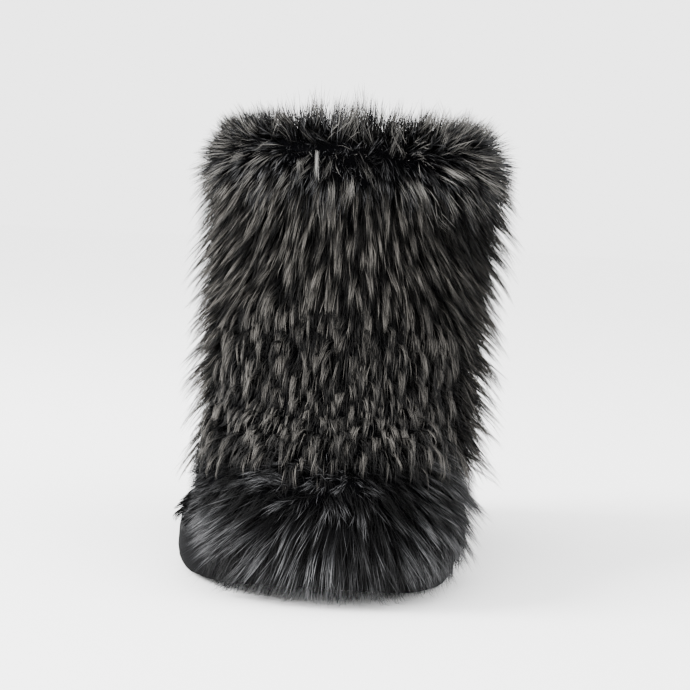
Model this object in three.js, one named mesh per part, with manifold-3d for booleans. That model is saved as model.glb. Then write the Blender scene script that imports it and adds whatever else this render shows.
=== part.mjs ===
// A deep-fur winter boot for the right foot: moulded sole, footbed, hollow upper and three fur pelts.
// Millimetres, +Z up, toe towards -Y, the inner side of the foot towards +X.
// The origin is on the floor, under the middle of the heel.
import * as THREE from "three";
import { mergeVertices } from "three/addons/utils/BufferGeometryUtils.js";
import Module from "manifold-3d";

const wasm = await Module();
wasm.setup();

// Last and shaft
const lastLength = 262;
const heelSetback = 43; // back of the heel behind the origin
const ballWidth = 104;
const instepHeight = 80; // ankle fold above the sole
const shaftHeight = 175; // collar edge above the floor
const shaftWidth = 110;
const shaftDepth = 132; // front to back at the collar
const shaftCentre = -19;
const wall = 4; // hide with its lining glued in
const seat = 0.3; // gap between two pieces that rest on each other

// Sole and footbed
const soleMargin = 11; // how far the sole stands out from the upper
const heelSide = 30; // height of the sole's side at the heel
const ballSide = 24; // and at the ball
const toeSpring = 6;
const archLift = 4;
const heelBevel = 2.5;
const edgeRound = 6; // how far the sole's lower edge is rounded in
const grooveDepth = 3;
const grooveWidth = 3.2;
const groovePitch = 14;
const grooveBend = 6; // how far a groove's middle runs towards the toe
const treadRim = 9; // plain rim between the grooves and the sole's edge
const footbedHeight = 6;

// Fur
const shaftPelt = 11.5; // dense part of the fur
const footPelt = 8;
const collarPelt = 11;
const collarDrop = 15; // how far the collar's fur comes down the outside
const collarRise = 12; // and how far it stands over the edge
const shaftLock = 28; // length of a lock
const footLock = 26;
const collarLock = 22;
const lockWidth = 15;
const lockThickness = 6;
const floorGap = 3; // lowest fur above the floor

// Sections of the upper's outer face from the sole to the instep.
// back and front: shares of lastLength, from the back of the heel.
// backUp and frontUp: shares of instepHeight, from the sole's top.
// inner and outer: half widths, shares of ballWidth; the foot's ridge is towards the inner side.
// square: 2 is an ellipse.
// slim: how much narrower the heel is. waist: hollow of the inner side.
// flare: swing of the toe to the inner side. follow: how far the section keeps to the sole's curve.
const footSections = [
  { back: 0.011, front: 0.989, backUp: 0, frontUp: 0, inner: 0.49, outer: 0.49,
    square: 2.5, slim: 0.15, waist: 0.11, flare: 0.06, follow: 1 },
  { back: 0.002, front: 1, backUp: 0.11, frontUp: 0.1, inner: 0.508, outer: 0.496,
    square: 2.5, slim: 0.14, waist: 0.1, flare: 0.06, follow: 1 },
  { back: 0, front: 0.994, backUp: 0.25, frontUp: 0.21, inner: 0.513, outer: 0.482,
    square: 2.45, slim: 0.13, waist: 0.08, flare: 0.055, follow: 1 },
  { back: 0.004, front: 0.967, backUp: 0.39, frontUp: 0.31, inner: 0.508, outer: 0.465,
    square: 2.4, slim: 0.11, waist: 0.06, flare: 0.05, follow: 1 },
  { back: 0.01, front: 0.923, backUp: 0.51, frontUp: 0.37, inner: 0.502, outer: 0.46,
    square: 2.35, slim: 0.09, waist: 0.04, flare: 0.045, follow: 1 },
  { back: 0.018, front: 0.857, backUp: 0.64, frontUp: 0.43, inner: 0.493, outer: 0.455,
    square: 2.3, slim: 0.06, waist: 0.02, flare: 0.035, follow: 1 },
  { back: 0.025, front: 0.779, backUp: 0.76, frontUp: 0.51, inner: 0.488, outer: 0.458,
    square: 2.2, slim: 0.03, waist: 0, flare: 0.025, follow: 0.8 },
  { back: 0.03, front: 0.697, backUp: 0.89, frontUp: 0.63, inner: 0.486, outer: 0.466,
    square: 2.15, slim: 0, waist: 0, flare: 0.01, follow: 0.5 },
  { back: 0.032, front: 0.615, backUp: 1.01, frontUp: 0.79, inner: 0.493, outer: 0.485,
    square: 2.1, slim: 0, waist: 0, flare: 0, follow: 0.25 },
];

// Sections of the shaft. back and front: shares of shaftDepth, from its centre.
// backUp and frontUp: shares of the height from the ankle to the collar.
// half: half width, a share of shaftWidth.
const shaftSections = [
  { back: 0.413, front: 0.636, backUp: 0.11, frontUp: -0.1, half: 0.465 },
  { back: 0.428, front: 0.568, backUp: 0.24, frontUp: 0.09, half: 0.477 },
  { back: 0.447, front: 0.53, backUp: 0.39, frontUp: 0.285, half: 0.487 },
  { back: 0.466, front: 0.508, backUp: 0.56, frontUp: 0.49, half: 0.493 },
  { back: 0.485, front: 0.5, backUp: 0.77, frontUp: 0.73, half: 0.497 },
  { back: 0.5, front: 0.5, backUp: 1, frontUp: 1, half: 0.5 },
];
const shaftSquare = 2.1;

const ankleHeight = heelSide + instepHeight;
const toeTip = heelSetback - lastLength;
const springStart = heelSetback - 0.76 * lastLength;
const forefootRest = heelSetback - 0.655 * lastLength; // middle of the flat under the ball
const topLevel = footSections.length + shaftSections.length - 1;
const peltSeam = 3; // level where the shaft's pelt meets the foot's pelt
const collarRow = 0.27 * (shaftHeight - ankleHeight); // height of the highest row at the front
const stepsRound = 36;
const soleStepsRound = 48;

// Height of the toe's curve off the floor, at a place along the foot.
function springAt(y) {
  const past = Math.max(0, springStart - y) / (springStart - toeTip);
  return toeSpring * past * past;
}

function soleTop(y) {
  const towardsHeel = THREE.MathUtils.smoothstep(y, springStart, 0);
  return ballSide + (heelSide - ballSide) * towardsHeel + springAt(y);
}

function soleBottom(y) {
  const archMiddle = heelSetback - 0.42 * lastLength;
  const archHalf = 0.13 * lastLength;
  const inArch = Math.max(0, 1 - ((y - archMiddle) / archHalf) ** 2);
  const bevelStart = 0.55 * heelSetback;
  const pastBevel = Math.max(0, y - bevelStart) / (heelSetback - bevelStart);
  return springAt(y) + archLift * inArch * inArch + heelBevel * pastBevel * pastBevel;
}

// The tables in millimetres, from the sole to the collar.
const sections = [
  ...footSections.map((row) => ({
    backY: heelSetback - row.back * lastLength,
    frontY: heelSetback - row.front * lastLength,
    backZ: heelSide + seat + row.backUp * instepHeight,
    frontZ: heelSide + seat + row.frontUp * instepHeight,
    inner: row.inner * ballWidth,
    outer: row.outer * ballWidth,
    square: row.square,
    slim: row.slim,
    waist: row.waist,
    flare: row.flare * ballWidth,
    follow: row.follow,
  })),
  ...shaftSections.map((row) => ({
    backY: shaftCentre + row.back * shaftDepth,
    frontY: shaftCentre - row.front * shaftDepth,
    backZ: ankleHeight + row.backUp * (shaftHeight - ankleHeight),
    frontZ: ankleHeight + row.frontUp * (shaftHeight - ankleHeight),
    inner: row.half * shaftWidth,
    outer: row.half * shaftWidth,
    square: shaftSquare,
    slim: 0,
    waist: 0,
    flare: 0,
    follow: 0,
  })),
];

// The section at any level, a smooth curve through the rows of the tables.
function sectionAt(level) {
  const row = Math.min(Math.max(Math.floor(level), 0), topLevel - 1);
  const s = level - row;
  const before = sections[Math.max(row - 1, 0)];
  const lower = sections[row];
  const upper = sections[row + 1];
  const after = sections[Math.min(row + 2, topLevel)];
  const section = {};
  for (const key of Object.keys(lower)) {
    const slopeIn = (upper[key] - before[key]) / 2;
    const slopeOut = (after[key] - lower[key]) / 2;
    const rise = upper[key] - lower[key];
    const bend = 3 * rise - 2 * slopeIn - slopeOut;
    const twist = slopeIn + slopeOut - 2 * rise;
    section[key] = lower[key] + s * (slopeIn + s * (bend + s * twist));
  }
  return section;
}

// A point of the upper's outer face. turn runs once round, from the toe over the inner side.
function facePoint(turn, level) {
  const section = sectionAt(level);
  const angle = turn * 2 * Math.PI;
  const rounding = 2 / section.square;
  const along = Math.sign(Math.cos(angle)) * Math.abs(Math.cos(angle)) ** rounding;
  const across = Math.sign(Math.sin(angle)) * Math.abs(Math.sin(angle)) ** rounding;
  const heelward = THREE.MathUtils.smoothstep(-along, -0.5, 0.6);
  const hollow = section.waist * Math.exp(-(((along + 0.12) / 0.3) ** 2));
  const narrowing = 1 - section.slim * heelward - (across > 0 ? hollow : 0.4 * hollow);
  const half = across > 0 ? section.inner : section.outer;
  const swing = section.flare * Math.max(0, along) ** 2;
  const y = (section.backY + section.frontY) / 2 - (along * (section.backY - section.frontY)) / 2;
  const z = (section.backZ + section.frontZ) / 2 - (along * (section.backZ - section.frontZ)) / 2;
  const x = swing + across * half * narrowing;
  return new THREE.Vector3(x, y, z + section.follow * (soleTop(y) - heelSide));
}

// Outward normal of that face, level at the sole and at the collar.
function faceNormal(turn, level) {
  const reach = 0.004;
  const low = Math.max(level - 0.1, 0);
  const high = Math.min(level + 0.1, topLevel);
  const round = facePoint(turn + reach, level).sub(facePoint(turn - reach, level));
  const up = facePoint(turn, high).sub(facePoint(turn, low));
  const normal = round.cross(up).normalize();
  normal.z *= Math.min(1, level, topLevel - level);
  return normal.normalize();
}

// A point off the outer face. The lowest row stays on the sole.
function offsetPoint(turn, level, distance) {
  const point = facePoint(turn, level).addScaledVector(faceNormal(turn, level), distance);
  return level > 0 ? point : point.setZ(soleTop(point.y) + seat);
}

// The same, on the flat between two rows of the upper's mesh, for what lies against the upper.
function seatPoint(turn, level, distance) {
  const row = Math.min(Math.floor(level), topLevel - 1);
  const high = offsetPoint(turn, row + 1, distance);
  return offsetPoint(turn, row, distance).lerp(high, level - row);
}

function ringOf(count, pointAt) {
  return Array.from({ length: count }, (_, i) => pointAt(i / count));
}

// A solid from its points and the indices of its outward triangles.
function solidFrom(points, triangles) {
  return new wasm.Manifold(
    new wasm.Mesh({
      numProp: 3,
      vertProperties: new Float32Array(points.flatMap((p) => [p.x, p.y, p.z])),
      triVerts: new Uint32Array(triangles),
    }),
  );
}

function solidOf(geometry) {
  geometry.deleteAttribute("normal");
  geometry.deleteAttribute("uv");
  const merged = mergeVertices(geometry);
  return new wasm.Manifold(
    new wasm.Mesh({
      numProp: 3,
      vertProperties: merged.attributes.position.array,
      triVerts: new Uint32Array(merged.index.array),
    }),
  );
}

// Triangles between two rings, given the index of each ring's first point.
function bandBetween(low, high, count) {
  return Array.from({ length: count }, (_, i) => {
    const next = (i + 1) % count;
    return [low + i, low + next, high + next, low + i, high + next, high + i];
  }).flat();
}

// Triangles up a stack of rings, from the first point's index.
function stackTriangles(first, ringCount, count) {
  return Array.from({ length: ringCount - 1 }, (_, ring) =>
    bandBetween(first + ring * count, first + (ring + 1) * count, count),
  ).flat();
}

// A wall between its outer and inner rings, each from the lowest up, open above and below.
function wallSolid(outside, inside) {
  const count = outside[0].length;
  const top = (outside.length - 1) * count;
  const within = outside.length * count;
  return solidFrom([...outside, ...inside].flat(), [
    ...stackTriangles(0, outside.length, count),
    ...stackTriangles(within, inside.length, count).toReversed(),
    ...bandBetween(within, 0, count),
    ...bandBetween(top, within + top, count),
  ]);
}

// A roll that closes on itself, from rings round its section.
function rollSolid(rings) {
  const count = rings[0].length;
  const last = (rings.length - 1) * count;
  const triangles = [...stackTriangles(0, rings.length, count), ...bandBetween(last, 0, count)];
  return solidFrom(rings.flat(), triangles);
}

// A block from its lowest ring to its highest, closed by rungs from side to side.
function blockSolid(rings) {
  const count = rings[0].length;
  const triangles = stackTriangles(0, rings.length, count);
  const top = (rings.length - 1) * count;
  for (let i = 0; i < count / 2; i++) {
    const [a, b, c, d] = [i, i + 1, count - i - 1, (count - i) % count];
    for (const face of [[a, b, c], [a, c, d]]) {
      if (new Set(face).size < 3) continue;
      triangles.push(...face.map((corner) => top + corner));
      triangles.push(...face.toReversed());
    }
  }
  return solidFrom(rings.flat(), triangles);
}

// Sole

// inset: how far the layer lies inside the sole's widest line, a share of edgeRound.
// height: share of the sole's side.
const soleLayers = [
  { inset: 1, height: 0 },
  { inset: 0.43, height: 0.05 },
  { inset: 0.13, height: 0.16 },
  { inset: 0, height: 0.36 },
  { inset: 0.05, height: 0.7 },
  { inset: 0.23, height: 0.93 },
  { inset: 0.5, height: 1 },
];

function solePoint(turn, inset, share, swell = 0) {
  const point = offsetPoint(turn, 0, soleMargin - inset + swell);
  const bottom = soleBottom(point.y) - swell;
  const top = soleTop(point.y) + swell;
  return point.setZ(bottom + share * (top - bottom));
}

function soleBlock(swell) {
  return blockSolid(
    soleLayers.map((layer) =>
      ringOf(soleStepsRound, (turn) =>
        solePoint(turn, layer.inset * edgeRound, layer.height, swell),
      ),
    ),
  );
}

// Half width of the grooved field at a place along the sole, on one side.
function treadHalf(y, side) {
  const ring = ringOf(soleStepsRound, (turn) => solePoint(turn, treadRim, 0));
  const edge = ring.filter((p) => p.x * side > 0);
  return Math.abs(edge.reduce((a, b) => (Math.abs(b.y - y) < Math.abs(a.y - y) ? b : a)).x);
}

// One bent groove across the tread, cut up from below the floor.
function groove(y) {
  const inner = treadHalf(y, 1);
  const outer = treadHalf(y, -1);
  const half = grooveWidth / 2;
  const shape = new THREE.Shape([
    new THREE.Vector2(-outer, y - half),
    new THREE.Vector2(0, y - half - grooveBend),
    new THREE.Vector2(inner, y - half),
    new THREE.Vector2(inner, y + half),
    new THREE.Vector2(0, y + half - grooveBend),
    new THREE.Vector2(-outer, y + half),
  ]);
  const below = 1;
  const depth = below + soleBottom(y - grooveBend) + grooveDepth;
  const cutter = new THREE.ExtrudeGeometry(shape, { depth, bevelEnabled: false });
  return solidOf(cutter.translate(0, 0, -below));
}

// Grooves lie on both sides of the flat spots, which are plain blocks.
const heelGrooves = [-1.5, -0.5, 0.5, 1.5].map((step) => grooveBend + step * groovePitch);
const forefootGrooves = [-4.5, -3.5, -2.5, -1.5, -0.5, 0.5, 1.5].map(
  (step) => forefootRest + grooveBend + step * groovePitch,
);

function makeSole() {
  return [...heelGrooves, ...forefootGrooves].reduce(
    (block, y) => block.subtract(groove(y)),
    soleBlock(0),
  );
}

// Footbed, loose inside the upper on the sole's top

function makeFootbed() {
  const edge = wall + 2 * seat;
  const rounding = 0.25 * footbedHeight;
  const layers = [
    { inset: edge, up: 0 },
    { inset: edge, up: 0.7 },
    { inset: edge + rounding, up: 1 },
  ];
  return blockSolid(
    layers.map((layer) =>
      ringOf(soleStepsRound, (turn) => {
        const point = offsetPoint(turn, 0, -layer.inset);
        return point.setZ(soleTop(point.y) + seat + layer.up * footbedHeight);
      }),
    ),
  );
}

// Upper, one hide wall from the sole to the collar

function rowsBetween(low, high) {
  return Array.from({ length: high - low + 1 }, (_, i) => low + i);
}

function makeUpper() {
  const levels = rowsBetween(0, topLevel);
  const ringsAt = (distance) =>
    levels.map((level) => ringOf(stepsRound, (turn) => offsetPoint(turn, level, distance)));
  return wallSolid(ringsAt(0), ringsAt(-wall));
}

// Fur

// A number from 0 to 1 that changes from one lock to the next.
function vary(index) {
  return (index * 0.618034) % 1;
}

// A tapered lock of fur that leaves the pelt along `lift` and bends over towards `fall`.
// rise: how far the tip stands off, a share of its length.
function lock({ root, lift, fall, length, width, thickness, rise }) {
  const side = new THREE.Vector3().crossVectors(fall, lift).normalize();
  const middle = root
    .clone()
    .addScaledVector(lift, 0.7 * rise * length)
    .addScaledVector(fall, 0.38 * length);
  const tip = root
    .clone()
    .addScaledVector(lift, rise * length)
    .addScaledVector(fall, 0.9 * length);
  const outwards = lift.clone().addScaledVector(fall, -0.5).normalize();
  const ringAt = (centre, half, depth) => [
    centre.clone().addScaledVector(side, half),
    centre.clone().addScaledVector(side, -half),
    centre.clone().addScaledVector(outwards, depth),
  ];
  const points = [
    ...ringAt(root, width / 2, thickness),
    ...ringAt(middle, 0.42 * width, 0.8 * thickness),
    tip,
  ];
  const rootCap = [2, 1, 0];
  const tipFaces = [3, 4, 6, 4, 5, 6, 5, 3, 6];
  return solidFrom(points, [...rootCap, ...bandBetween(0, 3, 3), ...tipFaces]);
}

// The way down along the face: the direction that the hair falls in.
function downhill(normal) {
  const down = new THREE.Vector3(0, 0, -1);
  return down.addScaledVector(normal, normal.z).normalize();
}

// A pelt on the upper between two levels, with rows of locks.
function pelt({ low, high, depth, rows, perRow, lockLength, rise, swell = 0 }) {
  const levels = [...rowsBetween(low, Math.ceil(high) - 1), high];
  const edgeShare = (level) => (level === low || level === high ? 0.6 : 1);
  const ringsAt = (distanceAt) =>
    levels.map((level) => ringOf(stepsRound, (turn) => seatPoint(turn, level, distanceAt(level))));
  const shell = wallSolid(
    ringsAt((level) => depth * edgeShare(level) + swell),
    ringsAt(() => seat - swell),
  );
  const locks = rows.flatMap((level, row) =>
    Array.from({ length: perRow }, (_, i) => {
      const turn = (i + (row % 2) / 2) / perRow;
      const normal = faceNormal(turn, level);
      const size = 0.85 + 0.3 * vary(i + row * perRow);
      return lock({
        root: offsetPoint(turn, level, 0.4 * depth),
        lift: normal,
        fall: downhill(normal),
        length: lockLength * size,
        width: lockWidth * size + 2 * swell,
        thickness: lockThickness * size + swell,
        rise,
      });
    }),
  );
  return locks.reduce((solid, one) => solid.add(one), shell);
}

// The pelt without any tip that a cut has left loose.
function pelted(solid) {
  return solid.decompose().toSorted((a, b) => b.volume() - a.volume())[0];
}

function shaftFur(swell) {
  return pelt({
    low: peltSeam,
    high: topLevel - (collarDrop + seat) / collarRow,
    depth: shaftPelt,
    rows: [4.3, 6, 7.8, 9.8, 12],
    perRow: 13,
    lockLength: shaftLock,
    rise: 0.34,
    swell,
  });
}

function footFur() {
  return pelt({
    low: 0,
    high: peltSeam,
    depth: footPelt,
    rows: [0.9, 2.1],
    perRow: 19,
    lockLength: footLock,
    rise: 0.3,
  });
}

// Collar fur: a roll over the shaft's edge, with locks that stand up and fall outwards.
function makeCollarFur() {
  // out: distance from the shaft's outer face. up: share of the rise, or below 0 of the drop.
  const roll = [
    { out: seat, up: -1 },
    { out: collarPelt * 0.8, up: -1 },
    { out: collarPelt * 1.15, up: -0.3 },
    { out: collarPelt, up: 0.5 },
    { out: collarPelt * 0.35, up: 1 },
    { out: -wall - 0.1 * collarPelt, up: 0.9 },
    { out: -wall - 0.36 * collarPelt, up: 0.3 },
    { out: -wall - 0.32 * collarPelt, up: -0.5 },
    { out: -wall - seat, up: -0.5 },
    { out: -wall - seat, up: 0.03 },
    { out: seat, up: 0.03 },
  ];
  const skyward = new THREE.Vector3(0, 0, 1);
  const pointAt = (turn, { out, up }) =>
    up < 0
      ? seatPoint(turn, topLevel + (up * collarDrop) / collarRow, out)
      : offsetPoint(turn, topLevel, out).addScaledVector(skyward, up * collarRise);
  const rings = roll.map((corner) => ringOf(stepsRound, (turn) => pointAt(turn, corner)));
  const count = 16;
  const locks = Array.from({ length: count }, (_, i) => {
    const turn = i / count;
    const between = turn + 0.5 / count;
    const size = 0.75 + 0.35 * vary(i);
    const outwards = faceNormal(turn, topLevel);
    const standing = lock({
      root: pointAt(turn, { out: 0.4 * collarPelt, up: 0.4 }),
      lift: skyward,
      fall: outwards.multiplyScalar(0.8).addScaledVector(skyward, 0.6).normalize(),
      length: 0.7 * collarLock * size,
      width: lockWidth * size,
      thickness: lockThickness * size,
      rise: 0.5,
    });
    const falling = lock({
      root: pointAt(between, { out: 0.6 * collarPelt, up: -0.1 }),
      lift: faceNormal(between, topLevel),
      fall: skyward.clone().negate(),
      length: collarLock * size,
      width: lockWidth * size,
      thickness: lockThickness * size,
      rise: 0.4,
    });
    return standing.add(falling);
  });
  return locks.reduce((solid, one) => solid.add(one), rollSolid(rings));
}

// All that lies lower than the fur may hang.
function floorSlab() {
  const reach = 2 * lastLength;
  return solidOf(new THREE.BoxGeometry(reach, reach, reach).translate(0, 0, floorGap - reach / 2));
}

const hide = { color: 0x1c1a1c, roughness: 0.85 };
const rubber = { color: 0x34343a, roughness: 0.6 };
const felt = { color: 0x2a2a2e, roughness: 0.95 };
const fur = { color: 0x3a3836, roughness: 0.9 };

function named(name, solid, finish) {
  const made = solid.getMesh();
  const geometry = new THREE.BufferGeometry();
  geometry.setAttribute("position", new THREE.BufferAttribute(made.vertProperties, 3));
  geometry.setIndex(new THREE.BufferAttribute(made.triVerts, 1));
  geometry.computeVertexNormals();
  const mesh = new THREE.Mesh(geometry, new THREE.MeshStandardMaterial(finish));
  mesh.name = name;
  return mesh;
}

const clear = 0.8 * seat; // how far a lock is cut back from its neighbour
const boot = new THREE.Group();
boot.add(named("sole", makeSole(), rubber));
boot.add(named("footbed", makeFootbed(), felt));
boot.add(named("upper", makeUpper(), hide));
boot.add(named("collar_fur", makeCollarFur(), fur));
boot.add(named("shaft_fur", shaftFur(0), fur));
boot.add(
  named(
    "foot_fur",
    pelted(footFur().subtract(shaftFur(clear)).subtract(soleBlock(clear)).subtract(floorSlab())),
    fur,
  ),
);

export default boot;
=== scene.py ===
import math

import bpy
import numpy as np
from mathutils import Matrix, Vector
from mathutils.bvhtree import BVHTree


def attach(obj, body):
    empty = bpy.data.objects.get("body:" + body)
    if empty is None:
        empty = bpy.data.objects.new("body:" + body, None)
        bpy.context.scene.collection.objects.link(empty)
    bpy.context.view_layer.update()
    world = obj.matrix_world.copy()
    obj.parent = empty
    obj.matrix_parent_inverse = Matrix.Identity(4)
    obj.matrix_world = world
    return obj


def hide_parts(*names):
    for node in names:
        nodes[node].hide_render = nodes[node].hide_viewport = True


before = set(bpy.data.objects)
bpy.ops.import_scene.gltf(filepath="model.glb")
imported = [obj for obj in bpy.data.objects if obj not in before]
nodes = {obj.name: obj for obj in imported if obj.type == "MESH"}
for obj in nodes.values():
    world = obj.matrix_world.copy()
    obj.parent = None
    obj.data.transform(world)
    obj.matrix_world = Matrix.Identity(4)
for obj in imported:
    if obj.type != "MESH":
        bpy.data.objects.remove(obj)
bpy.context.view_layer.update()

# Sole: one moulded rubber unit, matte dark grey, glued under the upper.
# It keeps the solid's form and grooves, with smooth sides and a fine mould grain.


def select_only(piece):
    bpy.ops.object.select_all(action="DESELECT")
    piece.select_set(True)
    bpy.context.view_layer.objects.active = piece


def copy_of(node, name):
    """A new object with the node's mesh, its loose triangles joined."""
    piece = bpy.data.objects.new(name, nodes[node].data.copy())
    bpy.context.scene.collection.objects.link(piece)
    piece.data.name = name
    piece.data.materials.clear()
    select_only(piece)
    bpy.ops.object.mode_set(mode="EDIT")
    bpy.ops.mesh.select_all(action="SELECT")
    bpy.ops.mesh.remove_doubles(threshold=0.00002)
    bpy.ops.object.mode_set(mode="OBJECT")
    return piece


def linear(code):
    """The linear colour of an sRGB hex code."""
    parts = [int(code[i : i + 2], 16) / 255 for i in (1, 3, 5)]
    return [c / 12.92 if c <= 0.04045 else ((c + 0.055) / 1.055) ** 2.4 for c in parts] + [1.0]


def add_node(tree, kind, settings=None, links=None):
    """A shader node with its settings and input links."""
    node = tree.nodes.new(kind)
    for key, value in (settings or {}).items():
        if isinstance(key, str) and hasattr(node, key):
            setattr(node, key, value)
        else:
            node.inputs[key].default_value = value
    for key, source in (links or {}).items():
        tree.links.new(source, node.inputs[key])
    return node


def new_material(name):
    """A material with an empty node tree but for its output."""
    material = bpy.data.materials.new(name)
    material.use_nodes = True
    material.node_tree.nodes.clear()
    return material, material.node_tree


def finish_material(tree, shader):
    output = add_node(tree, "ShaderNodeOutputMaterial")
    tree.links.new(shader.outputs[0], output.inputs["Surface"])


def grained(name, code, roughness, scale, height, gloss=0.5):
    """A plain material with a fine noise bump: scale in grains a metre, height in metres."""
    material, tree = new_material(name)
    place = add_node(tree, "ShaderNodeTexCoord")
    noise = add_node(
        tree,
        "ShaderNodeTexNoise",
        {"Scale": scale, "Detail": 3.0},
        {"Vector": place.outputs["Object"]},
    )
    bump = add_node(
        tree, "ShaderNodeBump", {"Strength": 1.0, "Distance": height}, {"Height": noise.outputs[0]}
    )
    shader = add_node(
        tree,
        "ShaderNodeBsdfPrincipled",
        {"Base Color": linear(code), "Roughness": roughness, "Specular IOR Level": gloss},
        {"Normal": bump.outputs[0]},
    )
    finish_material(tree, shader)
    return material


# Matte moulded rubber, near black, its grain about 0.6 mm across, which dulls the side.
rubber = grained("sole_rubber_matte", "#0a0a0b", 0.9, 1500.0, 0.00006, gloss=0.02)
sole = copy_of("sole", "sole_unit")
bpy.ops.object.shade_smooth_by_angle(angle=math.radians(38))
sole.data.materials.append(rubber)
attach(sole, "root")
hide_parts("sole")

# Footbed: a loose felt insole on the sole's top.
# It is the solid itself, in pressed grey felt.

# Pressed felt, its fibres about 1 mm apart, which give a soft uneven grey.
felt = grained("footbed_felt_grey", "#2e2e31", 0.95, 900.0, 0.0003)
nodes["footbed"].data.materials.clear()
nodes["footbed"].data.materials.append(felt)

# Upper: the hide shell, hidden between its lining and the fur.
# It is the solid itself, in dyed black hide.

# Dyed hide, its grain about 1 mm across, with a dull sheen.
hide = grained("hide_dyed_black", "#1b1a1b", 0.8, 1000.0, 0.0001)
nodes["upper"].data.materials.clear()
nodes["upper"].data.materials.append(hide)

# Lining: short curly wool on the hide's inner side, black, part of the shearling itself.
# A shell just off the inner wall, its curls raised by a noise.


def mesh_arrays(node):
    """The node's corners, joined where they meet, and its triangles as indices."""
    mesh = nodes[node].data
    mesh.calc_loop_triangles()
    corners = np.empty(len(mesh.vertices) * 3)
    mesh.vertices.foreach_get("co", corners)
    faces = np.empty(len(mesh.loop_triangles) * 3, dtype=np.int32)
    mesh.loop_triangles.foreach_get("vertices", faces)
    corners = corners.reshape(-1, 3)
    grid = np.round(corners / 0.00002).astype(np.int64)
    _, first, joined = np.unique(grid, axis=0, return_index=True, return_inverse=True)
    return corners[first], joined.reshape(-1)[faces].reshape(-1, 3)


def unit(vectors):
    return vectors / np.maximum(np.linalg.norm(vectors, axis=-1, keepdims=True), 1e-12)


# A line through the middle of the boot's inside, from the collar to the heel and the toe.
middle_line = np.array(
    [
        [[0, -0.019, 0.30], [0, -0.019, 0.10]],
        [[0, -0.019, 0.10], [0, -0.010, 0.048]],
        [[0, -0.019, 0.10], [0, -0.070, 0.055]],
        [[0, -0.010, 0.048], [0, -0.070, 0.050]],
        [[0, -0.070, 0.055], [0, -0.170, 0.040]],
    ]
)


def from_middle(points):
    """The vector to each point from the nearest place on the middle line."""
    best = None
    for start, end in middle_line:
        along = end - start
        share = np.clip((points - start) @ along / (along @ along), 0, 1)
        away = points - (start + share[:, None] * along)
        size = np.linalg.norm(away, axis=1)
        if best is None:
            best, least = away, size
        else:
            nearer = size < least
            best = np.where(nearer[:, None], away, best)
            least = np.minimum(size, least)
    return best


def wall_faces(outer):
    """The triangles of the upper's outer or inner wall, without its rims, and smooth normals."""
    corners, faces = mesh_arrays("upper")
    a, b, c = (corners[faces[:, i]] for i in range(3))
    normals = np.cross(b - a, c - a)
    away = from_middle((a + b + c) / 3)
    side = np.einsum("ij,ij->i", normals, away) * (1 if outer else -1)
    flat = unit(normals)[:, 2]
    lowest = np.minimum.reduce([a[:, 2], b[:, 2], c[:, 2]])
    at_top = lowest > corners[:, 2].max() - 0.0005
    at_bottom = flat < -0.9
    keep = (side > 0) & ~at_top & ~at_bottom
    faces, normals = faces[keep], normals[keep]
    smooth = np.zeros_like(corners)
    for i in range(3):
        np.add.at(smooth, faces[:, i], normals)
    return corners, faces, unit(smooth)


def mesh_piece(name, corners, faces):
    mesh = bpy.data.meshes.new(name)
    mesh.from_pydata(corners.tolist(), [], faces.tolist())
    mesh.validate()
    piece = bpy.data.objects.new(name, mesh)
    bpy.context.scene.collection.objects.link(piece)
    return piece


def apply_modifier(piece, kind, **settings):
    select_only(piece)
    modifier = piece.modifiers.new(kind, kind)
    for key, value in settings.items():
        setattr(modifier, key, value)
    bpy.ops.object.modifier_apply(modifier=modifier.name)


def curls(name, size, strength):
    texture = bpy.data.textures.new(name, "CLOUDS")
    texture.noise_scale = size
    texture.noise_depth = 2
    return dict(texture=texture, strength=strength, mid_level=0.5, texture_coords="LOCAL")


wool_gap = 0.0014  # metres between the hide's inner wall and the middle of the curls
inner_corners, inner_faces, inner_normals = wall_faces(outer=False)
used, renumbered = np.unique(inner_faces, return_inverse=True)
lining = mesh_piece(
    "wool_lining",
    inner_corners[used] + inner_normals[used] * wool_gap,
    renumbered.reshape(-1, 3),
)
apply_modifier(lining, "SUBSURF", levels=2, render_levels=2)
apply_modifier(lining, "DISPLACE", **curls("wool_curls", 0.003, 0.0018))
bpy.ops.object.shade_smooth()
# Black curly wool, with a fibre bump under 1 mm, which breaks up its shade.
wool = grained("lining_wool_black", "#161517", 1.0, 1300.0, 0.0008, gloss=0.1)
lining.data.materials.append(wool)
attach(lining, "root")

# Underfur: the dense black base of the three pelts, sewn to the hide.
# Each keeps the form of its solid, with its locks, drawn in to leave room for the hair.

# Dense black underfur, with a fibre bump about 1 mm across and no gloss at all.
down_black = grained("underfur_black", "#050506", 1.0, 700.0, 0.002, gloss=0.0)
underfur_grid = 0.0032  # metres between the corners of its mesh
hide_corners, hide_faces = mesh_arrays("upper")
hide_tree = BVHTree.FromPolygons(hide_corners.tolist(), hide_faces.tolist())


def underfur(node, name, deepest, share):
    """The node's form, at most `deepest` over the hide, and then drawn in to a share of that."""
    piece = copy_of(node, name)
    apply_modifier(piece, "REMESH", mode="VOXEL", voxel_size=underfur_grid)
    for corner in piece.data.vertices:
        foot, _, _, depth = hide_tree.find_nearest(corner.co)
        pressed = share * min(depth, deepest)
        corner.co = foot + (corner.co - foot) * (pressed / max(depth, 0.0001))
    apply_modifier(piece, "SMOOTH", factor=0.5, iterations=4)
    bpy.ops.object.shade_smooth()
    piece.data.materials.append(down_black)
    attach(piece, "root")
    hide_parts(node)
    return piece


underfur("shaft_fur", "underfur_shaft", 0.013, 0.33)
underfur("foot_fur", "underfur_foot", 0.010, 0.33)
underfur("collar_fur", "underfur_collar", 0.018, 0.70)

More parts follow.
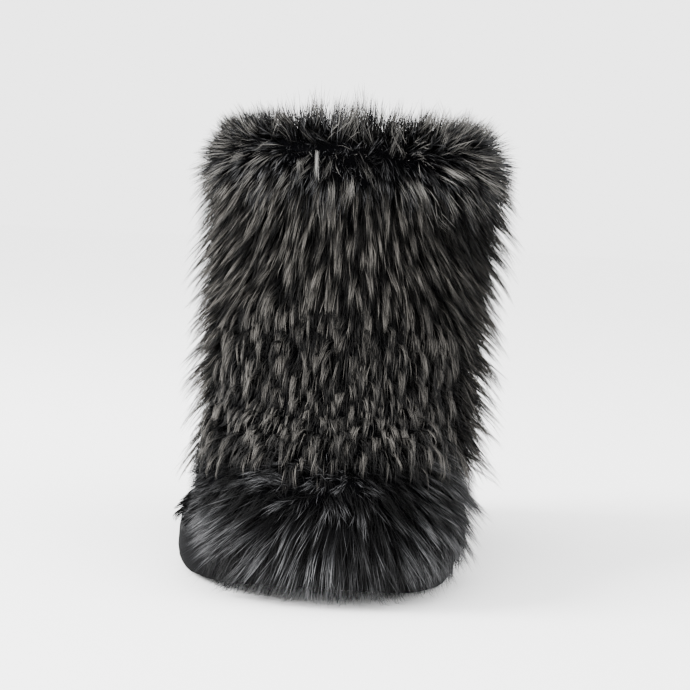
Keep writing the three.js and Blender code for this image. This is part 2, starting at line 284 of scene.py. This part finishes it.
# Shaft hair: long guard hair over the shaft and the instep, black with a pale band by the tip.
# It grows from the hide as flat tapered ribbons: a dark undercoat, and over it narrow pale
# strands that stand off.

draw = np.random.default_rng(7)
shares = np.array([0.0, 0.28, 0.56, 0.82, 1.0])  # where the ribbon's rings stand along a hair
frost_steps = 128  # columns of the hair's UV map, from black hair to frosted hair


def scatter(count, corners, faces, normals, weight):
    """Random places on the faces, in number by their area times the weight at their middle."""
    a, b, c = (corners[faces[:, i]] for i in range(3))
    area = np.linalg.norm(np.cross(b - a, c - a), axis=1) * weight((a + b + c) / 3)
    face = draw.choice(len(faces), size=count, p=area / area.sum())
    u, v = draw.random(count), draw.random(count)
    over = u + v > 1
    u[over], v[over] = 1 - u[over], 1 - v[over]
    mix = np.stack([1 - u - v, u, v], axis=1)[:, :, None]
    places = (corners[faces[face]] * mix).sum(axis=1)
    return places, unit((normals[faces[face]] * mix).sum(axis=1))


def nearest(points, centres):
    """The index of the centre nearest to each point."""
    found = np.empty(len(points), dtype=np.int64)
    lengths = (centres**2).sum(axis=1)
    for start in range(0, len(points), 2000):
        part = points[start : start + 2000]
        found[start : start + 2000] = np.argmin(lengths - 2 * part @ centres.T, axis=1)
    return found


def grow(roots, normals, combed, length, lift_root, lift_tip, sag, wave):
    """Points of each hair at the shares of its length: it leaves the skin at lift_root, in radians,
    lies down to lift_tip, sags, and turns from side to side by up to `wave`."""
    points = [roots]
    across = np.cross(normals, combed)
    phase = draw.uniform(0, 2 * math.pi, len(roots))
    for low, high in zip(shares[:-1], shares[1:]):
        middle = (low + high) / 2
        lift = lift_root + (lift_tip - lift_root) * middle**0.7
        turn = wave * np.sin(phase + 5 * middle)
        along = combed * np.cos(turn)[:, None] + across * np.sin(turn)[:, None]
        way = normals * np.sin(lift)[:, None] + along * np.cos(lift)[:, None]
        way = unit(way + np.array([0, 0, -1]) * (sag * middle)[:, None])
        points.append(points[-1] + way * (length * (high - low))[:, None])
    return np.stack(points, axis=1)


def slid(paths, scale):
    """The paths made longer or shorter by their scale, straight on past the tip where longer."""
    at = shares[None, :] * scale[:, None]
    low = np.clip(np.searchsorted(shares, at, side="right") - 1, 0, len(shares) - 2)
    part = (at - shares[low]) / (shares[low + 1] - shares[low])
    row = np.arange(len(paths))[:, None]
    return paths[row, low] + (paths[row, low + 1] - paths[row, low]) * part[:, :, None]


def jitter(vectors, amount):
    """The vectors with random noise of this size added."""
    return vectors + draw.normal(0, 1, vectors.shape) * amount


def smooth_step(low, high, values):
    """0 up to `low` and 1 from `high` on, with a soft step between; `low` may be the greater."""
    share = np.clip((values - low) / (high - low), 0, 1)
    return share * share * (3 - 2 * share)


def comb(normals, towards):
    """The way along the skin nearest to `towards`."""
    return unit(towards - normals * np.einsum("ij,ij->i", normals, towards)[:, None])


def coat(
    place,  # gives so many places on the skin and their normals
    lie,  # gives the lifts at root and tip, and the sag
    length,
    towards,  # gives the way that the hair is combed
    locks,
    tufts,
    hairs,
    width,
    bundle,  # how far tufts are drawn to their lock
    grip,  # how far hairs are drawn to their tuft
    gathered,  # the same along the hair, from root to tip
    loose,  # share of the hairs that hardly follow
    unruly,  # how much directions vary
    frost,  # gives how pale the band is
):
    """Hairs drawn to tufts, and tufts to locks.
    Returns the paths, facings, widths, frost and roots of the hairs."""

    def paths_for(places, normals, spread, length_spread):
        size = len(places)
        reach = length(places, normals) * (1 + length_spread * draw.uniform(-1, 1, size))
        combed = comb(normals, jitter(towards(places, normals), spread))
        lift_root, lift_tip, sag = lie(places, normals)
        lift_root = lift_root * (1 + 0.15 * draw.uniform(-1, 1, size))
        lift_tip = lift_tip * (1 + 0.3 * draw.uniform(-1, 1, size))
        return grow(places, normals, combed, reach, lift_root, lift_tip, sag, 1.5 * unruly)

    lock_places, lock_normals = place(locks)
    tuft_places, tuft_normals = place(tufts)
    hair_places, hair_normals = place(hairs)
    lock = paths_for(lock_places, lock_normals, unruly, 0.2)
    tuft = paths_for(tuft_places, tuft_normals, 1.3 * unruly, 0.2)
    hair = paths_for(hair_places, hair_normals, 1.3 * unruly, 0.12)
    gathered = np.array(gathered)
    to_lock = nearest(tuft_places, lock_places)
    tuft = tuft + (bundle * gathered)[None, :, None] * (lock[to_lock] - tuft)
    to_tuft = nearest(hair_places, tuft_places)
    free = draw.random(hairs) < loose
    held = np.where(free, 0.25, grip * draw.uniform(0.85, 1.05, hairs))
    own = slid(tuft[to_tuft], draw.uniform(0.68, 1.08, hairs))
    hair = hair + held[:, None, None] * gathered[None, :, None] * (own - hair)
    hair = hair + draw.normal(0, 1, hair.shape) * (0.0003 * shares**1.5)[None, :, None]
    pale = draw.beta(2.0, 1.6, locks)[to_lock] + draw.normal(0, 0.18, tufts)
    pale = (pale[to_tuft] + draw.normal(0, 0.28, hairs)) * frost(hair_places)
    widths = width * draw.uniform(0.7, 1.25, hairs)
    return hair, hair_normals, widths, np.clip(pale, 0, 0.999), hair_places


def joined_coats(*coats):
    """The hairs of several coats as one."""
    return [np.concatenate(parts) for parts in zip(*coats)]


def ribbons(name, paths, facing, width, frost, material):
    """One mesh of flat tapered hairs along the paths.
    Its UV map holds how frosted a hair is, and the place along it."""
    count, rings = paths.shape[0], paths.shape[1] - 1
    ways = unit(np.gradient(paths, axis=1))
    side = unit(np.cross(ways, jitter(facing, 0.45)[:, None, :]))
    taper = np.array([0.75, 1.0, 0.85, 0.5])
    half = side[:, :rings] * (width[:, None] * taper / 2)[:, :, None]
    corners = np.empty((count, 2 * rings + 1, 3))
    corners[:, 0:-1:2] = paths[:, :rings] - half
    corners[:, 1:-1:2] = paths[:, :rings] + half
    corners[:, -1] = paths[:, -1]
    first = (np.arange(count) * (2 * rings + 1))[:, None]
    quads = [first + np.array([2 * i, 2 * i + 1, 2 * i + 3, 2 * i + 2]) for i in range(rings - 1)]
    tip = first + np.array([2 * rings - 2, 2 * rings - 1, 2 * rings])
    loops = np.concatenate(quads + [tip], axis=1).reshape(-1)
    per_hair = np.array([4] * (rings - 1) + [3])
    totals = np.tile(per_hair, count)
    starts = np.concatenate([[0], np.cumsum(totals)[:-1]])
    mesh = bpy.data.meshes.new(name)
    mesh.vertices.add(count * (2 * rings + 1))
    mesh.vertices.foreach_set("co", corners.reshape(-1))
    mesh.loops.add(len(loops))
    mesh.loops.foreach_set("vertex_index", loops.astype(np.int32))
    mesh.polygons.add(len(totals))
    mesh.polygons.foreach_set("loop_start", starts.astype(np.int32))
    mesh.polygons.foreach_set("use_smooth", np.ones(len(totals), dtype=bool))
    column = (np.clip(frost, 0, 0.999) * frost_steps).astype(int)
    across = np.empty((count, 2 * rings + 1))
    across[:, 0:-1:2] = ((column + 0.15) / frost_steps)[:, None]
    across[:, 1:-1:2] = ((column + 0.85) / frost_steps)[:, None]
    across[:, -1] = (column + 0.5) / frost_steps
    along = np.append(np.repeat(shares[:-1], 2), 1.0) * 0.98 + 0.01
    uv = np.stack([across, np.broadcast_to(along, across.shape)], axis=2).reshape(-1, 2)
    layer = mesh.uv_layers.new(name="OFBake")
    layer.data.foreach_set("uv", uv[loops].reshape(-1))
    mesh.update(calc_edges=True)
    # Normals turned out at both edges, so that a flat hair takes the light as a round one.
    front = unit(np.cross(side, ways))[:, :rings]
    front *= np.sign(np.einsum("ijk,ik->ij", front, facing))[:, :, None] + 1e-9
    bent = np.empty_like(corners)
    bent[:, 0:-1:2] = unit(front - 0.6 * side[:, :rings])
    bent[:, 1:-1:2] = unit(front + 0.6 * side[:, :rings])
    bent[:, -1] = front[:, -1]
    mesh.normals_split_custom_set_from_vertices(bent.reshape(-1, 3))
    piece = bpy.data.objects.new(name, mesh)
    bpy.context.scene.collection.objects.link(piece)
    mesh.materials.append(material)
    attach(piece, "root")
    return piece


def split_pieces(name, parts, by, hairs, material):
    """The hairs as so many pieces of equal number, split in the order of `by`."""
    order = np.argsort(by)
    for part in range(parts):
        own = order[len(order) * part // parts : len(order) * (part + 1) // parts]
        paths, facing, widths, frost = (column[own] for column in hairs[:4])
        ribbons(f"{name}_{part + 1}", paths, facing, widths, frost, material)


def ramp(tree, source, stops):
    """Colours along the source's value."""
    node = add_node(tree, "ShaderNodeValToRGB", {}, {0: source})
    band = node.color_ramp
    while len(band.elements) < len(stops):
        band.elements.new(0.5)
    for element, (at, code) in zip(band.elements, stops):
        element.position = at
        element.color = linear(code)
    return node


def hair_material(name, stops):
    """Hair with these colours along it towards u = 1, and near black towards u = 0."""
    material, tree = new_material(name)
    hair_map = add_node(tree, "ShaderNodeUVMap", {"uv_map": "OFBake"})
    place = add_node(tree, "ShaderNodeSeparateXYZ", {}, {0: hair_map.outputs[0]})
    black = [(0, "#020203"), (0.62, "#080808"), (0.8, "#0b0b0b"), (1, "#030304")]
    dark = ramp(tree, place.outputs[1], black)
    pale = ramp(tree, place.outputs[1], stops)
    frosted = add_node(tree, "ShaderNodeMix", {"data_type": "RGBA"})
    tree.links.new(place.outputs[0], frosted.inputs[0])
    tree.links.new(dark.outputs[0], frosted.inputs[6])
    tree.links.new(pale.outputs[0], frosted.inputs[7])
    shader = add_node(
        tree,
        "ShaderNodeBsdfPrincipled",
        {"Roughness": 0.5, "Specular IOR Level": 0.05},
        {"Base Color": frosted.outputs[2]},
    )
    finish_material(tree, shader)
    return material


# Guard hair, dull, black at the root and the tip, with a warm pale band between.
warm_hair = hair_material(
    "fur_guard_hair_warm",
    [
        (0, "#020203"),
        (0.32, "#050506"),
        (0.46, "#171716"),
        (0.58, "#383633"),
        (0.76, "#625f5b"),
        (0.90, "#302f2c"),
        (0.99, "#060607"),
    ],
)
shaft_hair = 0.029  # metres, the longest

skin_corners, skin_faces, skin_normals = wall_faces(outer=True)


def seam_height(places):
    """Height of the seam between the two pelts: lower at the toe than at the heel."""
    share = np.clip((places[:, 1] + 0.20) / 0.24, 0, 1)
    return 0.055 + 0.006 * share


def shaft_skin(count):
    """Places above the seam, fewer on the instep."""

    def weight(places):
        above = places[:, 2] > seam_height(places) - 0.004
        return above * (1 - 0.4 * smooth_step(-0.085, -0.110, places[:, 1]))

    return scatter(count, skin_corners, skin_faces, skin_normals, weight)


def lying(root, tip, sag):
    """Lifts, given in degrees, for the shaft's pelt: flatter low on the outer side, and on the
    instep first straight up, then down over it."""

    def lie(places, normals):
        flat = smooth_step(0.15, 0.6, normals[:, 2])
        low = smooth_step(0.085, 0.06, places[:, 2])
        inner, outer = np.maximum(normals[:, 0], 0), np.maximum(-normals[:, 0], 0)
        stand = 1 + 0.6 * inner + outer * (0.4 - 0.45 * low)
        lift_root = math.radians(root) * (stand + (1.95 - stand) * flat)
        lift_tip = math.radians(tip) * (stand + (-1.8 - stand) * flat)
        return lift_root, lift_tip, sag * (1 - flat)

    return lie


def shaft_length(places, normals):
    """Shorter at the hem in front, so that the foot's hair shows under it."""
    front = smooth_step(0.1, 0.6, -normals[:, 1])
    hem = front * smooth_step(0.088, 0.062, places[:, 2])
    inner, outer = np.maximum(normals[:, 0], 0), np.maximum(-normals[:, 0], 0)
    low = smooth_step(0.085, 0.06, places[:, 2])
    return shaft_hair * (1 - 0.36 * hem) * (1 + 0.10 * inner - 0.1 * outer * low)


def shaft_frost_and_painted_shade(places):
    """Paler towards the outer side; darker under the collar's clump at the inner side's front,
    painted shade.
    """
    # Painted shade: the pale band is darkened under the collar's clump.
    clump_painted_shade = smooth_step(0.024, 0.038, places[:, 0]) * smooth_step(-0.02, -0.04, places[:, 1])
    clump_painted_shade = clump_painted_shade * smooth_step(0.138, 0.146, places[:, 2])
    return 0.82 * (1 + 0.38 * smooth_step(0.0, -0.05, places[:, 0])) * (1 - 0.85 * clump_painted_shade)


def downwards(places, normals):
    """Down, and on the instep towards the toe."""
    flat = smooth_step(0.15, 0.6, normals[:, 2])
    return np.stack([np.zeros(len(places)), -0.12 - 0.6 * flat, -np.ones(len(places))], axis=1)


under = coat(
    shaft_skin,
    lying(38, 17, 0.1),
    lambda places, normals: 0.8 * shaft_length(places, normals),
    downwards,
    locks=900,
    tufts=4000,
    hairs=36000,
    width=0.00040,
    bundle=0.5,
    grip=0.8,
    gathered=(0, 0.4, 0.6, 0.75, 0.85),
    loose=0.08,
    unruly=0.08,
    frost=lambda places: 0.1,
)
guard = coat(
    shaft_skin,
    lying(50, 24, 0.15),
    shaft_length,
    downwards,
    locks=1900,
    tufts=5500,
    hairs=31000,
    width=0.00027,
    bundle=0.93,
    grip=0.96,
    gathered=(0, 0.74, 0.93, 0.98, 0.98),
    loose=0.08,
    unruly=0.08,
    frost=shaft_frost_and_painted_shade,
)
hairs = joined_coats(under, guard)
split_pieces("hair_shaft", 3, np.arctan2(hairs[4][:, 1] + 0.06, hairs[4][:, 0]), hairs, warm_hair)

# Foot hair: the band of the same pelt round the toe, sides and heel, finer and darker.
# It fans out from the seam over the sole's edge, shorter at the front of the outer side,
# where the sole shows.

# The same dull hair with a cooler band.
cool_hair = hair_material(
    "fur_guard_hair_cool",
    [
        (0, "#020203"),
        (0.36, "#050506"),
        (0.48, "#131315"),
        (0.60, "#404143"),
        (0.76, "#88888a"),
        (0.90, "#404143"),
        (0.97, "#070708"),
    ],
)


def foot_skin(count):
    """Places below the seam."""
    below = lambda places: (places[:, 2] < seam_height(places) + 0.002) * 1.0
    return scatter(count, skin_corners, skin_faces, skin_normals, below)


def hollow(places):
    """How far a place lies in the two dark hollows under the shaft's hem, or between them."""
    front = smooth_step(-0.13, -0.15, places[:, 1])
    band = smooth_step(0.038, 0.045, places[:, 2])
    near = smooth_step(0.048, 0.032, np.abs(places[:, 0] + 0.003))
    return front * band * near


def foot_length(places, normals):
    """Long in front, and short at the outer side's corner; none reaches lower than it should."""
    front = smooth_step(0.2, 0.9, -normals[:, 1])
    inner = np.maximum(normals[:, 0], 0)
    forward = 0.4 + 0.6 * smooth_step(-0.05, -0.10, places[:, 1])
    corner = smooth_step(-0.018, -0.042, places[:, 0]) * forward
    lowest = 0.002 + 0.006 * (1 - front) + 0.020 * corner
    hang = (places[:, 2] - lowest) / (0.5 + 0.35 * corner)
    longest = 0.024 + 0.018 * front + 0.004 * inner * (1 - front) - 0.014 * corner
    return np.clip(hang, 0.013 - 0.004 * corner, longest) * (1 - 0.6 * hollow(places))


def foot_towards(places, normals):
    """A fan from the toe's middle, and every way in the messy middle under the hem."""
    across = (places[:, 0] - 0.014) / 0.032
    across = np.where(across < 0, 1.9 * np.tanh(across), 1.2 * np.tanh(across))
    messy = hollow(places) * smooth_step(0.024, 0.012, np.abs(places[:, 0] - 0.003))
    across = across + messy * draw.normal(0, 1.0, len(places))
    down = messy * draw.normal(0.4, 0.8, len(places)) - 1
    return np.stack([across, -0.3 * np.ones(len(places)), down], axis=1)


def foot_lying(root, tip, sag):
    """Lifts, given in degrees, for the foot's pelt: flatter by the seam, fuller at the corner."""

    def lie(places, normals):
        beside = np.abs(normals[:, 0])
        corner = smooth_step(-0.028, -0.044, places[:, 0])
        corner = corner * smooth_step(0.050, 0.040, places[:, 2])
        by_seam = smooth_step(0.044, 0.056, places[:, 2])
        lift_root = math.radians(root) * (1 + 0.2 * corner) * (1 - 0.4 * by_seam)
        lift_tip = math.radians(tip) * (1 + 0.35 * beside + 0.6 * corner) * (1 - 0.4 * by_seam)
        return lift_root, lift_tip, sag * (1 - 0.8 * np.maximum(beside, corner))

    return lie


def foot_frost_and_painted_shade(places):
    """Painted shade: darker in the hollows, less so between them, and darker at the outer side's
    corner.
    """
    messy = smooth_step(0.026, 0.012, np.abs(places[:, 0] - 0.003))
    corner = smooth_step(-0.022, -0.040, places[:, 0]) * smooth_step(0.046, 0.034, places[:, 2])
    # Painted shade: the pale band fades in the shaded hollows and dims at the outer corner, where
    # the key light falls.
    return 0.50 * (1 - 0.97 * hollow(places) * (1 - 0.65 * messy)) * (1 - 0.4 * corner)


under = coat(
    foot_skin,
    foot_lying(40, 18, 0.2),
    lambda places, normals: 0.9 * foot_length(places, normals),
    lambda places, normals: foot_towards(places, normals) * [0.35, 1, 1],
    locks=500,
    tufts=2000,
    hairs=16000,
    width=0.00036,
    bundle=0.5,
    grip=0.8,
    gathered=(0, 0.4, 0.6, 0.75, 0.85),
    loose=0.08,
    unruly=0.14,
    # Painted shade: the undercoat's faint band fades out in the hollows.
    frost=lambda places: 0.08 * (1 - hollow(places)),
)
guard = coat(
    foot_skin,
    foot_lying(54, 28, 0.15),
    foot_length,
    foot_towards,
    locks=1300,
    tufts=3600,
    hairs=20000,
    width=0.00022,
    bundle=0.9,
    grip=0.93,
    gathered=(0, 0.7, 0.9, 0.94, 0.92),
    loose=0.15,
    unruly=0.14,
    frost=foot_frost_and_painted_shade,
)
hairs = joined_coats(under, guard)

# The sole's outline as seen from above, round its middle.
sole_corners, _ = mesh_arrays("sole")
sole_middle = np.array([0.0, -0.088])
at_side = (sole_corners[:, 2] > 0.006) & (sole_corners[:, 2] < 0.022)
sole_sides = sole_corners[at_side][:, :2] - sole_middle
sole_angle = np.arctan2(sole_sides[:, 1], sole_sides[:, 0])
sole_reach = np.linalg.norm(sole_sides, axis=1)
steps = np.linspace(-math.pi, math.pi, 97)
at_step = [np.abs(sole_angle - step) < 0.05 for step in steps]
step_reach = np.array([sole_reach[near].max() if near.any() else np.nan for near in at_step])
steps, step_reach = steps[~np.isnan(step_reach)], step_reach[~np.isnan(step_reach)]


def drape_over_sole(paths):
    """Pushes what hangs lower than the sole's top out past its side, and keeps it off the floor."""
    flat = paths[:, :, :2] - sole_middle
    reach = np.linalg.norm(flat, axis=2)
    angle = np.arctan2(flat[:, :, 1], flat[:, :, 0])
    edge = np.interp(angle, steps, step_reach, period=2 * math.pi)
    low = smooth_step(0.031, 0.022, paths[:, :, 2])
    wanted = edge + 0.0008 + 0.002 * draw.random((len(paths), 1))
    grown = np.maximum(reach, reach + (wanted - reach) * low)
    out = paths.copy()
    out[:, :, :2] = sole_middle + flat * (grown / np.maximum(reach, 0.001))[:, :, None]
    out[:, :, 2] = np.maximum(out[:, :, 2], 0.0022 + 0.002 * draw.random((len(paths), 1)))
    return out


# The front of the outer side shows the bare sole: hairs that end there are drawn back.
for _ in range(4):
    tips = hairs[0][:, -1]
    edge = -0.043 - 0.4 * np.clip(tips[:, 2], 0, 0.032)
    bare = smooth_step(edge + 0.003, edge - 0.003, tips[:, 0])
    bare = bare * smooth_step(0.036, 0.028, tips[:, 2])
    bare = bare * smooth_step(-0.06, -0.09, tips[:, 1])
    hairs[0] = slid(hairs[0], 1 - 0.35 * bare)
hairs[0] = drape_over_sole(hairs[0])
split_pieces("hair_foot", 2, hairs[4][:, 1], hairs, cool_hair)

# Collar hair: the fur roll over the shaft's edge, with a fringe that stands up and fans out at
# the sides. Hairs leave a rounded roll: down outside, up along its top and down inside.

rim_corners = skin_corners[np.abs(skin_corners[:, 2] - skin_corners[:, 2].max()) < 0.0003]
rim_centre = rim_corners.mean(axis=0)
rim_angle = np.arctan2(rim_corners[:, 1] - rim_centre[1], rim_corners[:, 0] - rim_centre[0])
rim_reach = np.linalg.norm((rim_corners - rim_centre)[:, :2], axis=1)
rim_order = np.argsort(rim_angle)
rim_angle, rim_reach = rim_angle[rim_order], rim_reach[rim_order]


# Silver-tipped hair of the collar, pale nearly to its end.
silver_hair = hair_material(
    "fur_collar_hair_silver",
    [
        (0, "#020203"),
        (0.28, "#060607"),
        (0.44, "#2c2b2a"),
        (0.66, "#7d7b77"),
        (0.9, "#6b6966"),
        (1, "#262625"),
    ],
)
roll_width, roll_height = 0.006, 0.011  # metres, half the roll's size


def collar_roll(count):
    """Places on the roll and their normals."""
    angle = draw.uniform(-math.pi, math.pi, count)
    turn = np.radians(draw.triangular(-80, 75, 205, count))
    out = np.stack([np.cos(angle), np.sin(angle), np.zeros(count)], axis=1)
    reach = np.interp(angle, rim_angle, rim_reach, period=2 * math.pi) - 0.001
    reach = reach + roll_width * np.cos(turn)
    places = rim_centre * np.array([1, 1, 0]) + out * reach[:, None]
    places[:, 2] = rim_centre[2] - 0.004 + roll_height * np.sin(turn)
    upright = np.array([0, 0, 1]) * (roll_width * np.sin(turn))[:, None]
    return places, unit(out * (roll_height * np.cos(turn))[:, None] + upright)


def collar_parts(places, normals):
    """The outward way at each place, and how far it is on the roll's top and on its inner side."""
    out = (places - rim_centre) * np.array([1, 1, 0])
    out = unit(out)
    outward = np.einsum("ij,ij->i", out, normals)
    up = smooth_step(0.15, 0.85, normals[:, 2]) * (outward > -0.2)
    inside = smooth_step(-0.1, -0.7, outward)
    return out, np.maximum(up, smooth_step(0.1, -0.1, outward) * (1 - inside)), inside


def collar_towards(places, normals):
    """Down outside and inside, up on the top, and outwards at the sides."""
    out, up, inside = collar_parts(places, normals)
    along = out * (0.25 + 0.6 * np.abs(out[:, :1])) * (1 - 1.6 * inside)[:, None]
    return along + np.array([0, 0, 1]) * (2 * up - 1 - 1.6 * inside * up)[:, None]


def collar_lie(places, normals):
    """The lifts and sag: fuller at the sides, and steep along the top."""
    out, up, inside = collar_parts(places, normals)
    beside = np.abs(out[:, 0])
    lift_root = np.radians(52 + 20 * beside)
    lift_tip = np.radians(24 + 30 * beside * (1 - up) + 34 * up)
    return lift_root, lift_tip, 0.12 * (1 - 0.6 * up)


def collar_length(places, normals):
    """Shorter at the sides, but for a clump at the front of the inner side."""
    out, up, inside = collar_parts(places, normals)
    beside = out[:, 0] ** 2
    clump = smooth_step(0.45, 0.8, out[:, 0]) * smooth_step(0.2, -0.2, out[:, 1]) * (1 - up)
    shorter = 0.2 * beside + 0.25 * beside * up - 0.2 * np.maximum(out[:, 0], 0) - 0.1 * clump
    return (0.025 + 0.002 * up - 0.006 * inside) * (1 - shorter)


under = coat(
    collar_roll,
    collar_lie,
    lambda places, normals: 0.85 * collar_length(places, normals),
    collar_towards,
    locks=200,
    tufts=900,
    hairs=15000,
    width=0.00042,
    bundle=0.5,
    grip=0.8,
    gathered=(0, 0.4, 0.6, 0.75, 0.85),
    loose=0.1,
    unruly=0.16,
    frost=lambda places: 0.25,
)
guard = coat(
    collar_roll,
    collar_lie,
    collar_length,
    collar_towards,
    locks=380,
    tufts=1300,
    hairs=11000,
    width=0.00026,
    bundle=0.85,
    grip=0.9,
    gathered=(0, 0.62, 0.88, 0.94, 0.95),
    loose=0.16,
    unruly=0.18,
    frost=lambda places: 0.6
    + 1.7 * smooth_step(0.4, 0.9, np.abs(places[:, 0]) / 0.055)
    + 0.4 * smooth_step(0.0, 0.006, places[:, 2] - rim_centre[2]),
)
# Stray hairs that stand out farthest at the sides are shorter.
for hairs in (under, guard):
    beyond = np.abs(hairs[0][:, -1, 0]) - 0.080
    hairs[0][:] = slid(hairs[0], 1 - 0.5 * smooth_step(0, 0.006, beyond))
split_pieces("hair_collar", 1, under[3], under, cool_hair)
split_pieces("hair_collar_guard", 1, guard[3], guard, silver_hair)

# White tuft: the few white hairs near the middle of the collar's front.
# A small bundle that hangs over the dark hair and spreads a little at its tip.

# White hair, without pigment from root to tip.
white_hair = hair_material(
    "fur_tuft_white", [(0, "#8f8d8a"), (0.4, "#b9b7b3"), (0.9, "#d2d0cc"), (1, "#a6a4a0")]
)
tuft_hairs = 22
tuft_root = np.array([-0.011, -0.098, 0.178])
tuft_facing = np.tile([0.0, -1.0, 0.0], (tuft_hairs, 1))
tuft_start = jitter(np.tile(tuft_root, (tuft_hairs, 1)), 0.0004)
tuft_way = unit(jitter(np.tile([0.03, -0.10, -1.0], (tuft_hairs, 1)), 0.05))
tuft_ends = tuft_start + tuft_way * draw.uniform(0.005, 0.015, (tuft_hairs, 1))
tuft_paths = tuft_start[:, None] + (tuft_ends - tuft_start)[:, None] * shares[None, :, None]
tuft_paths[:, :, 0] += 0.0014 * shares**2 * draw.uniform(-0.6, 1.6, (tuft_hairs, 1))
tuft_widths = np.full(tuft_hairs, 0.00014)
tuft_frost = draw.uniform(0.2, 0.7, tuft_hairs)
ribbons("hair_white_tuft", tuft_paths, tuft_facing, tuft_widths, tuft_frost, white_hair)

# Studio: a pale floor that runs into a pale backdrop, with broad soft lights.

bpy.ops.object.select_all(action="DESELECT")
bpy.ops.mesh.primitive_plane_add(size=12, location=(0, 0, 0))
floor = bpy.context.object
floor.name = "studio_floor"
# Plain matte white paper.
paper, tree = new_material("studio_paper_white")
white = {"Base Color": linear("#fbfbfb"), "Roughness": 1.0}
finish_material(tree, add_node(tree, "ShaderNodeBsdfPrincipled", white))
floor.data.materials.append(paper)

world = bpy.data.worlds.new("studio_air")
bpy.context.scene.world = world
world.use_nodes = True
air = world.node_tree.nodes["Background"]
air.inputs["Color"].default_value = (1.0, 1.0, 1.0, 1.0)
air.inputs["Strength"].default_value = 3.6


def soft_light(name, place, aim, size, power):
    """A round lamp, its size in metres and its power in watts."""
    light = bpy.data.lights.new(name, "AREA")
    light.shape = "DISK"
    light.size = size
    light.energy = power
    lamp = bpy.data.objects.new(name, light)
    lamp.location = place
    lamp.rotation_euler = (Vector(aim) - Vector(place)).to_track_quat("-Z", "Y").to_euler()
    bpy.context.scene.collection.objects.link(lamp)


soft_light("light_key", (-1.4, -0.5, 1.0), (0, -0.06, 0.09), 0.9, 85.0)
soft_light("light_fill", (1.2, -1.0, 0.8), (0, -0.06, 0.09), 0.9, 2.0)
soft_light("light_top", (0.1, 0.2, 1.8), (0, -0.06, 0.09), 1.0, 5.0)

# Camera: the photograph's angle, a little above the boot's middle and turned with its picture.

camera_turn = math.radians(4.0)  # round the boot from straight in front
camera_height = math.radians(4.0)
camera_roll = math.radians(3.0)
camera_distance = 1.0
camera_aim = Vector((0, -0.060, 0.090))
picture = 690  # pixels of the photograph's side
focal = 2170  # focal length in those pixels
back = Vector(
    (
        math.sin(camera_turn) * math.cos(camera_height),
        -math.cos(camera_turn) * math.cos(camera_height),
        math.sin(camera_height),
    )
)
lens = bpy.data.cameras.new("photo_camera")
lens.sensor_width = 36
lens.lens = focal / picture * 36
lens.shift_x = 7 / picture
lens.shift_y = 1 / picture
lens.clip_start = 0.05
camera = bpy.data.objects.new("photo_camera", lens)
bpy.context.scene.collection.objects.link(camera)
camera.location = camera_aim + back * camera_distance
level = back.to_track_quat("Z", "Y").to_matrix().to_4x4()
camera.rotation_euler = (level @ Matrix.Rotation(camera_roll, 4, "Z")).to_euler()
bpy.context.scene.camera = camera
